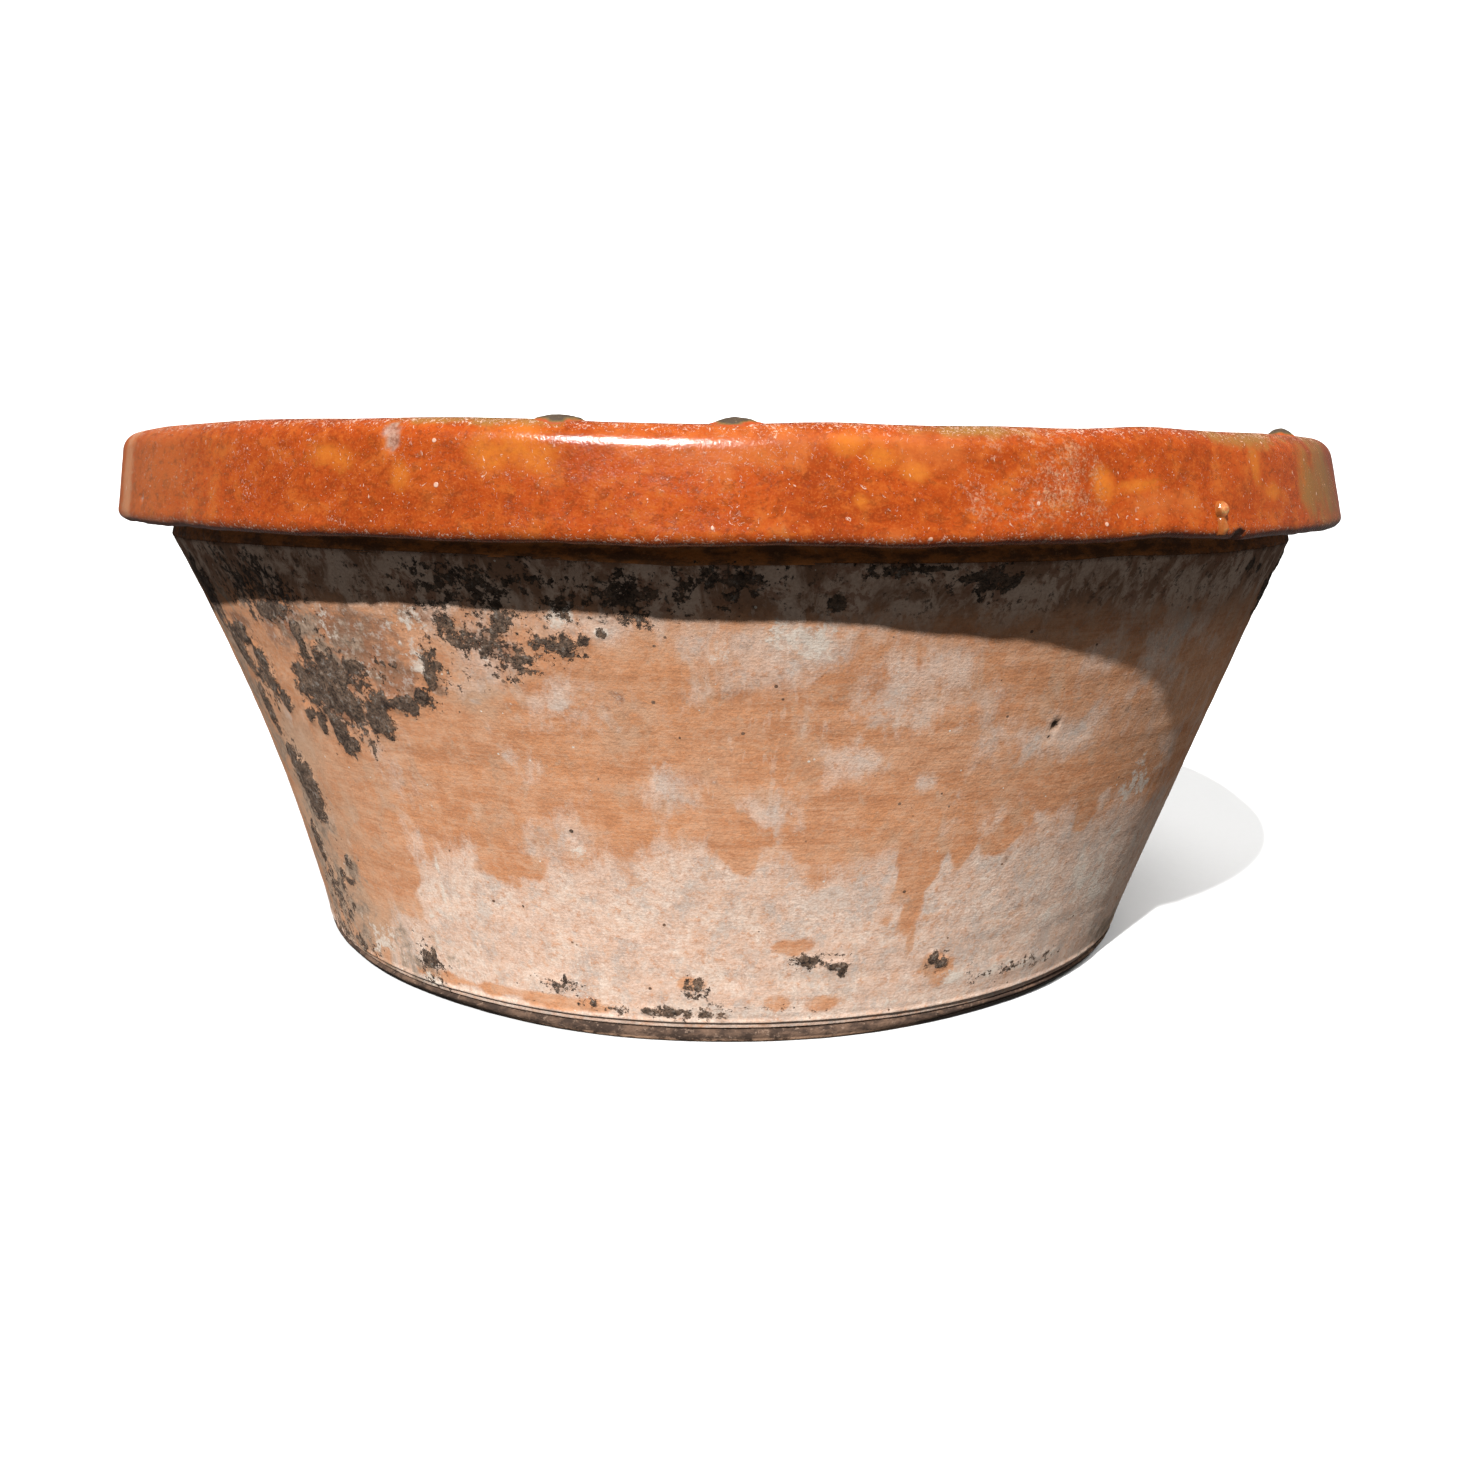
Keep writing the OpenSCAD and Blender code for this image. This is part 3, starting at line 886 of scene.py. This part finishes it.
def wall_material():
    n = Nodes("weathered_terracotta")
    broad = n.noise(52 * MM, detail=9, rough=0.62, warp=0.6)
    clouds = n.noise(17 * MM, (1.2, 1.2, 0.8), detail=8, rough=0.66, warp=0.5)
    middle = n.noise(7 * MM, detail=7, rough=0.68, warp=0.3)
    fine = n.noise(2.6 * MM, detail=5, rough=0.7)
    grain = n.noise(0.9 * MM, detail=3, rough=0.6)
    lines = n.noise(34 * MM, (1, 1, 6), detail=8, rough=0.66, warp=0.3)
    hairs = n.noise(10 * MM, (1, 1, 9), detail=5, rough=0.66)
    crumbs = n.noise(3.2 * MM, detail=7, rough=0.76)
    ash = n.noise(12 * MM, (1, 1, 0.7), detail=9, rough=0.78)
    blush = n.noise(9 * MM, detail=9, rough=0.75, warp=0.4)
    streaks = n.noise(8 * MM, (1, 1, 0.35), detail=8, rough=0.78, warp=0.3)
    flecks = n.noise(2.6 * MM, detail=7, rough=0.8)

    clay = n.layers(
        ORANGE,
        (broad, 0.36, 0.66, 0.6, SALMON), (lines, 0.47, 0.6, 0.65, DEEP_ORANGE),
        (clouds, 0.52, 0.62, 0.5, TAN_CLAY), (middle, 0.5, 0.62, 0.45, SALMON),
        (hairs, 0.53, 0.62, 0.4, SALMON), (hairs, 0.46, 0.4, 0.5, DEEP_ORANGE),
        (fine, 0.52, 0.64, 0.45, DEEP_ORANGE), (crumbs, 0.42, 0.36, 0.6, TAN_CLAY),
    )
    clay = n.mix(n.both(n.cover("tan", clouds, 0.45, 0.22), 0.8), clay, TAN_CLAY)
    warm = n.mix(n.step(fine, 0.4, 0.6), SALMON, ORANGE)
    clay = n.mix(n.both(n.cover("peach", clouds, 0.45, 0.2), 0.7), clay, warm)
    clay = n.mix(n.both(n.cover("grey", middle, 0.45, 0.12, 0.5), 0.6), clay, GREY_CHALK)

    chalk = n.layers(
        CREAM,
        (clouds, 0.42, 0.58, 1, PINK_CHALK), (ash, 0.5, 0.57, 0.75, GREY_CHALK),
        (blush, 0.57, 0.63, 0.55, SALMON), (fine, 0.58, 0.66, 0.55, ORANGE),
        (crumbs, 0.44, 0.36, 0.6, GREY_CHALK),
    )
    chalk = n.mix(n.both(n.cover("grey", middle, 0.45, 0.12, 0.46), 0.6), chalk, GREY_CHALK)
    patchy = n.total((clouds, 0.35), (streaks, 0.4), (fine, 0.25))
    bloom = n.cover("bloom", patchy, 0.24, 0.08)
    clay = n.mix(n.both(bloom, n.step(fine, 0.36, 0.62, 1.0, 0.62)), clay, chalk)

    stain = n.layers(BROWN, (clouds, 0.4, 0.62, 1, RUST_RED), (fine, 0.5, 0.66, 0.7, GREY_CHALK))
    clay = n.mix(n.both(n.cover("rust", middle, 0.45, 0.1), 0.95), clay, stain)
    soil = n.mix(n.step(fine, 0.38, 0.62), (0.15, 0.115, 0.085), (0.36, 0.265, 0.195))
    clay = n.mix(n.both(n.cover("dirt", middle, 0.4, 0.1, 0.38), 0.9), clay, soil)

    # Painted shade with real grime: a darker band just under the rim, all round the pot, fading downwards
    band = n.step(n.height(), NECK_Z - 28 * MM, NECK_Z - 5 * MM)
    band = n.step(n.math("ADD", patchy, n.both(band, 0.42)), 0.62, 0.86)
    grime_and_painted_shade = n.layers(
        BAND_DARK,
        (clouds, 0.44, 0.56, 1, BAND_PALE), (streaks, 0.52, 0.6, 0.8, BAND_PALE),
        (middle, 0.53, 0.6, 0.8, BAND_RED), (crumbs, 0.55, 0.6, 0.8, SOOT),
    )
    clay = n.mix(n.both(band, 0.9), clay, grime_and_painted_shade)

    # Lime crust, and painted light where the wash on the right side lightens the wall
    lime = n.cover("lime", n.total((middle, 0.5), (fine, 0.5)), 0.3, 0.05, 0.47)
    clay = n.mix(n.both(lime, 0.85), clay, LIME_WHITE)
    scratched = n.cover("scratch", n.noise(3 * MM, (1, 1, 0.05), detail=3), 0.2, 0.04, 0.56)
    clay = n.mix(n.both(scratched, 0.22), clay, CREAM)
    clay = n.mix(n.dots(5.5 * MM, 0.12), clay, n.mix(middle, SOOT, BROWN))
    clay = n.mix(n.dots(4.3 * MM, 0.1, 3.7), clay, LIME_WHITE)

    speckle = n.cover("speckle", crumbs, 0.3, 0.015, 0.45)
    lichen = n.cover("lichen", n.noise(5 * MM, detail=9, rough=0.8, warp=0.6), 0.55, 0.015)
    crust = n.most(speckle, lichen)
    dark = n.layers(
        SOOT,
        (flecks, 0.44, 0.54, 1, CRUST_BROWN), (flecks, 0.56, 0.62, 0.9, CRUST_GREY),
        (middle, 0.54, 0.68, 0.5, BROWN),
    )
    clay = n.mix(crust, clay, dark)
    # Painted shade: the burst holes are shallow dents, so their dark insides are painted, brown over each
    # dent and a black round spot at each hole
    clay = n.mix(n.attribute("pit"), clay, BROWN)
    for at, up, size, _ in PITS:
        clay = n.mix(n.painted_hole_shade(at, up, size * MM, fine), clay, SOOT)
    shade = n.mix(n.step(middle, 0.4, 0.6), BROWN, TAN_CLAY)
    clay = n.mix(n.step(grain, 0.36, 0.66, 0.3, 0.0), clay, shade)

    normal = n.relief(n.total((hairs, 0.3), (fine, 0.7)), 0.5 * MM, 0.55)
    normal = n.relief(grain, 0.2 * MM, 0.6, normal)
    normal = n.relief(n.both(crust, n.math("ADD", flecks, 0.7)), 0.9 * MM, 0.9, normal)
    return n.done(clay, n.step(fine, 0.2, 0.8, 0.8, 0.98), normal, Specular_IOR_Level=0.2)


def base_material():
    n = Nodes("foot_clay_and_painted_shade")
    high = n.height()
    middle = n.noise(8 * MM, (1, 1, 1.6), detail=7, rough=0.7)
    fine = n.noise(1.6 * MM, detail=4, rough=0.7)
    # Dark brown foot: partly the clay's own colour, partly painted shade of the undercut; the worn lower
    # edge is paler bare clay
    clay = n.layers(
        (0.04, 0.025, 0.018),
        (middle, 0.42, 0.64, 1, (0.125, 0.075, 0.05)), (fine, 0.56, 0.68, 0.6, (0.27, 0.185, 0.135)),
    )
    worn = n.both(n.step(high, 2.0 * MM, 0.8 * MM), n.step(middle, 0.4, 0.56))
    clay = n.mix(worn, clay, (0.55, 0.33, 0.21))
    rubbed = n.mix(n.step(fine, 0.3, 0.7), (0.5, 0.3, 0.19), (0.38, 0.22, 0.14))
    clay = n.mix(n.step(high, 0.6 * MM, 0.3 * MM), clay, rubbed)
    normal = n.relief(n.math("ADD", middle, fine), 0.5 * MM, 0.8)
    return n.done(clay, n.step(fine, 0.2, 0.8, 0.8, 0.98), normal, Specular_IOR_Level=0.2)


def neck_material():
    n = Nodes("brown_slip")
    middle = n.noise(10 * MM, (1, 1, 2.5), detail=6, rough=0.68)
    fine = n.noise(1.8 * MM, detail=5, rough=0.72)
    slip = n.layers(
        (0.46, 0.155, 0.034),
        (middle, 0.4, 0.6, 1, (0.15, 0.058, 0.021)), (fine, 0.56, 0.68, 0.6, (0.44, 0.22, 0.095)),
    )
    slip = n.mix(n.cover("speckle", fine, 0.3, 0.02, 0.5), slip, SOOT)
    normal = n.relief(n.math("ADD", middle, fine), 0.5 * MM, 0.7)
    return n.done(slip, n.step(fine, 0.3, 0.7, 0.5, 0.85), normal, Specular_IOR_Level=0.3)


def core_material():
    n = Nodes("rim_clay_body")
    fine = n.noise(2 * MM)
    clay = n.mix(n.step(fine, 0.35, 0.65), (0.42, 0.33, 0.27), (0.5, 0.27, 0.15))
    return n.done(clay, 0.9, n.relief(fine, 0.4 * MM, 0.6))


# Colours of the glazes
GLAZE_RED = (0.265, 0.04, 0.0045)
GLAZE_DEEP = (0.195, 0.027, 0.003)
GLAZE_DARK = (0.13, 0.022, 0.003)
GLAZE_DARKEST = (0.12, 0.018, 0.003)
GLAZE_ORANGE = (0.32, 0.072, 0.009)
GLAZE_AMBER = (0.37, 0.108, 0.0125)
GLAZE_DULL = (0.285, 0.068, 0.0135)
GLAZE_PINK = (0.34, 0.088, 0.019)
GLAZE_OLIVE = (0.175, 0.09, 0.022)
GLAZE_TAN = (0.36, 0.165, 0.08)
SAND = (0.34, 0.17, 0.085)
SCUFF = (0.42, 0.27, 0.2)


def rim_material():
    n = Nodes("amber_rim_glaze")
    broad = n.noise(38 * MM, (1, 1, 1.6), detail=7, rough=0.62, warp=0.4)
    middle = n.noise(9 * MM, detail=7, rough=0.66, warp=0.3)
    fine = n.noise(1.9 * MM, detail=5, rough=0.72)
    grain = n.noise(0.7 * MM, detail=3, rough=0.6)
    nicks = n.noise(1.5 * MM, detail=4, rough=0.7, warp=1.5)
    clouds = n.noise(15 * MM, detail=5, rough=0.6)
    coarse = n.noise(4.5 * MM, (1, 1, 1.8), detail=8, rough=0.8, warp=0.5)
    glaze = n.layers(
        GLAZE_DEEP,
        (broad, 0.36, 0.6, 1, GLAZE_RED), (middle, 0.44, 0.68, 0.7, GLAZE_ORANGE),
        (coarse, 0.5, 0.6, 0.65, GLAZE_DARK), (coarse, 0.46, 0.38, 0.5, GLAZE_ORANGE),
        (fine, 0.56, 0.64, 0.6, GLAZE_DARKEST), (grain, 0.5, 0.66, 0.35, GLAZE_PINK),
    )
    glaze = n.mix(n.both(n.cover("pink", middle, 0.5, 0.25), 0.65), glaze, GLAZE_PINK)
    glaze = n.mix(n.both(n.cover("dull", fine, 0.6, 0.2), 0.85), glaze, GLAZE_DULL)
    grime = n.both(n.attribute("dull"), n.step(coarse, 0.5, 0.6, 0, 0.8))
    glaze = n.mix(grime, glaze, (0.13, 0.04, 0.012))
    amber = n.both(n.cover("amber", coarse, 0.8, 0.3), n.step(fine, 0.3, 0.7, 0.8, 0.45))
    glaze = n.mix(amber, glaze, GLAZE_AMBER)
    # Olive patches: partly a grey-green film, partly painted reflection
    glaze = n.mix(n.both(n.cover("olive", middle, 0.6, 0.22), 0.8), glaze, GLAZE_OLIVE)
    glaze = n.mix(n.both(n.cover("tan", coarse, 0.6, 0.16), 0.7), glaze, GLAZE_TAN)
    sand = n.both(n.cover("sand", fine, 0.35, 0.14, 0.46), n.step(grain, 0.4, 0.62, 0.2, 1.0))
    glaze = n.mix(n.both(sand, 0.7), glaze, SAND)

    worn = n.cover("edge", nicks, 0.2, 0.02, 0.575)
    stray = n.both(n.dots(6.5 * MM, 0.12), n.step(middle, 0.42, 0.5))
    flakes = n.step(n.noise(2.2 * MM, (1, 1, 0.8), detail=3, rough=0.7, warp=2.5), 0.66, 0.68)
    rubbed = n.step(n.noise(1.3 * MM, detail=4, rough=0.8, warp=1), 0.59, 0.63, 0, 0.55)
    scuff = n.most(worn, stray, flakes, n.both(rubbed, n.step(clouds, 0.52, 0.62)))
    glaze = n.mix(n.both(scuff, 0.85), glaze, SCUFF)
    chip = n.attribute("chip")
    broken = n.mix(n.step(fine, 0.42, 0.6), (0.24, 0.17, 0.135), (0.1, 0.055, 0.038))
    glaze = n.mix(chip, glaze, broken)
    # Painted shade: the glaze on the rim's underside, darkened in patches
    under = n.both(n.attribute("under"), n.step(middle, 0.3, 0.6, 0.5, 0.95))
    glaze = n.mix(under, glaze, (0.1, 0.035, 0.015))

    normal = n.relief(n.total((middle, 0.7), (fine, 0.3)), 0.5 * MM, 0.5)
    normal = n.relief(grain, 0.12 * MM, 0.5, normal)
    normal = n.relief(n.most(scuff, sand), 0.18 * MM, 0.6, normal)
    matte = n.most(scuff, chip, sand, n.both(n.attribute("dull"), 0.9), n.attribute("tan"))
    rough = n.math("ADD", n.step(fine, 0.3, 0.7, 0.12, 0.22), n.both(matte, 0.45), clamp=True)
    return n.done(glaze, rough, normal, Specular_IOR_Level=0.42)


def inner_material():
    n = Nodes("amber_lining")
    broad = n.noise(70 * MM, detail=7, rough=0.6, warp=0.5)
    middle = n.noise(14 * MM, detail=6, rough=0.65)
    fine = n.noise(2 * MM)
    burnt = n.noise(26 * MM, detail=8, rough=0.7, warp=0.8)
    cracks = n.cells(5 * MM, feature="DISTANCE_TO_EDGE")
    glaze = n.layers(
        (0.24, 0.065, 0.009),
        (broad, 0.38, 0.62, 1, (0.4, 0.165, 0.028)), (middle, 0.5, 0.68, 0.6, (0.46, 0.22, 0.05)),
    )
    tide = n.step(n.math("ADD", n.attribute("level"), n.both(broad, 0.22)), 0.42, 0.16)
    glaze = n.mix(n.both(tide, n.step(middle, 0.3, 0.7, 0.12, 0.5)), glaze, (0.4, 0.27, 0.15))
    glaze = n.layers(
        glaze,
        (burnt, 0.56, 0.7, 0.7, (0.16, 0.055, 0.012)), (fine, 0.6, 0.72, 0.4, (0.1, 0.045, 0.015)),
        (cracks, 0.03, 0.0, 0.3, (0.08, 0.035, 0.015)),
    )
    normal = n.relief(middle, 0.4 * MM, 0.5)
    return n.done(glaze, n.step(fine, 0.3, 0.7, 0.14, 0.3), normal, Specular_IOR_Level=0.5)


def lump_material():
    n = Nodes("kiln_scar")
    fine = n.noise(1.4 * MM, rough=0.7)
    rise = n.math("ADD", n.attribute("top"), n.both(n.noise(4 * MM), 0.9))
    skin = n.layers(
        GLAZE_RED,
        (rise, 0.45, 0.75, 1, (0.105, 0.062, 0.018)), (rise, 0.66, 0.9, 1, (0.048, 0.032, 0.02)),
        (fine, 0.6, 0.7, 0.6, (0.24, 0.17, 0.09)),
    )
    rough = n.step(fine, 0.3, 0.7, 0.45, 0.8)
    return n.done(skin, rough, n.relief(fine, 0.6 * MM, 0.9), Specular_IOR_Level=0.3)


def drip_material():
    n = Nodes("glaze_run")
    fine = n.noise(1.2 * MM, rough=0.65)
    head = n.mix(n.step(fine, 0.42, 0.6), (0.33, 0.1, 0.035), (0.36, 0.22, 0.08))
    skin = n.mix(n.step(n.attribute("top"), 0.45, 0.85), (0.22, 0.06, 0.012), head)
    return n.done(skin, 0.2, n.relief(fine, 0.3 * MM, 0.5), Specular_IOR_Level=0.5)


def stage_material():
    n = Nodes("studio_paper")
    return n.done(n.mix(n.noise(4 * MM, detail=2), (0.6, 0.6, 0.595), (0.62, 0.62, 0.615)), 0.9)


def surround_material():
    n = Nodes("studio_glow")
    n.material.cycles.emission_sampling = "NONE"
    return n.done((0.8, 0.8, 0.8), 0.9, Emission_Color=(1, 1, 1, 1), Emission_Strength=0.9)


# -------- stage, light and camera

def make_stage():
    """Pale floor that curves up into a backdrop, and an even glow all round"""
    floor_end, bend, tall, half, front = 1.6, 1.2, 2.6, 9.0, -9.0
    line = [(front, 0.0), (floor_end, 0.0)]
    line += [(floor_end + bend * sin(t), bend * (1 - cos(t))) for t in np.linspace(0.1, pi / 2, 16)]
    line += [(floor_end + bend, tall)]
    points = [(x, y, z) for y, z in line for x in (-half, half)]
    faces = [(2 * i, 2 * i + 1, 2 * i + 3, 2 * i + 2) for i in range(len(line) - 1)]
    floor = new_piece("studio_floor", points, faces)
    floor.data.materials.append(stage_material())

    ring_r, ring_top, sides = 8.9, 9.0, 64
    turns = np.arange(sides) * 2 * pi / sides
    ring = [(ring_r * cos(t), ring_r * sin(t), z) for z in (-0.01, ring_top) for t in turns]
    faces = [(i, (i + 1) % sides, sides + (i + 1) % sides, sides + i) for i in range(sides)]
    surround = new_piece("studio_surround", ring, faces)
    surround.data.materials.append(surround_material())
    surround.visible_shadow = False
    for piece in (floor, surround):
        piece.visible_diffuse = False
        piece.visible_glossy = False


def toward(azimuth, elevation):
    """Direction from the pot to a light; azimuth is from the front towards +X, in degrees"""
    a, e = radians(azimuth), radians(elevation)
    return Vector((sin(a) * cos(e), -cos(a) * cos(e), sin(e)))


def add_light(name, kind, away, distance, strength, **settings):
    """Light that shines on the pot from a direction"""
    data = bpy.data.lights.new(name, kind)
    data.energy = strength
    for setting, value in settings.items():
        setattr(data, setting, value)
    lamp = bpy.data.objects.new(name, data)
    lamp.location = Vector((0, 0, RIM_TOP / 2)) + distance * away
    lamp.rotation_euler = away.to_track_quat("Z", "Y").to_euler()
    bpy.context.scene.collection.objects.link(lamp)
    lamp.visible_glossy = kind == "SUN"


def make_lights():
    """A key left of the camera, a softbox high on the right, two weak ones behind and an even fill"""
    add_light("key_light", "SUN", toward(-18.5, 43), 3.0, 7.4, angle=radians(1.2))
    add_light("high_softbox", "AREA", toward(42, 60), 2.5, 75, size=1.3)
    add_light("left_softbox", "AREA", toward(-155, 38), 2.5, 22, size=1.2)
    add_light("right_softbox", "AREA", toward(155, 38), 2.5, 22, size=1.2)
    world = bpy.data.worlds.new("studio")
    world.use_nodes = True
    background = world.node_tree.nodes["Background"]
    background.inputs["Color"].default_value = (1, 1, 1, 1)
    background.inputs["Strength"].default_value = 0.12
    bpy.context.scene.world = world
    bpy.context.scene.view_settings.view_transform = "Standard"


def make_camera():
    data = bpy.data.cameras.new("camera")
    data.sensor_width = 36
    data.lens = 32.5
    data.clip_start = 0.01
    camera = bpy.data.objects.new("camera", data)
    bpy.context.scene.collection.objects.link(camera)
    place = Vector((0.009, -2.398, 0.776)) * RIM_R
    tilt, roll = radians(90 - 11.25), radians(0.45)
    turn = Matrix.Rotation(tilt, 4, "X") @ Matrix.Rotation(roll, 4, "Z")
    camera.matrix_world = Matrix.Translation(place) @ turn
    bpy.context.scene.camera = camera


make_camera()
make_stage()
make_lights()
make_base()
make_wall()
make_neck()
make_rim_core()
make_rim_glaze()
make_inner_glaze()
make_lumps()
make_drip()
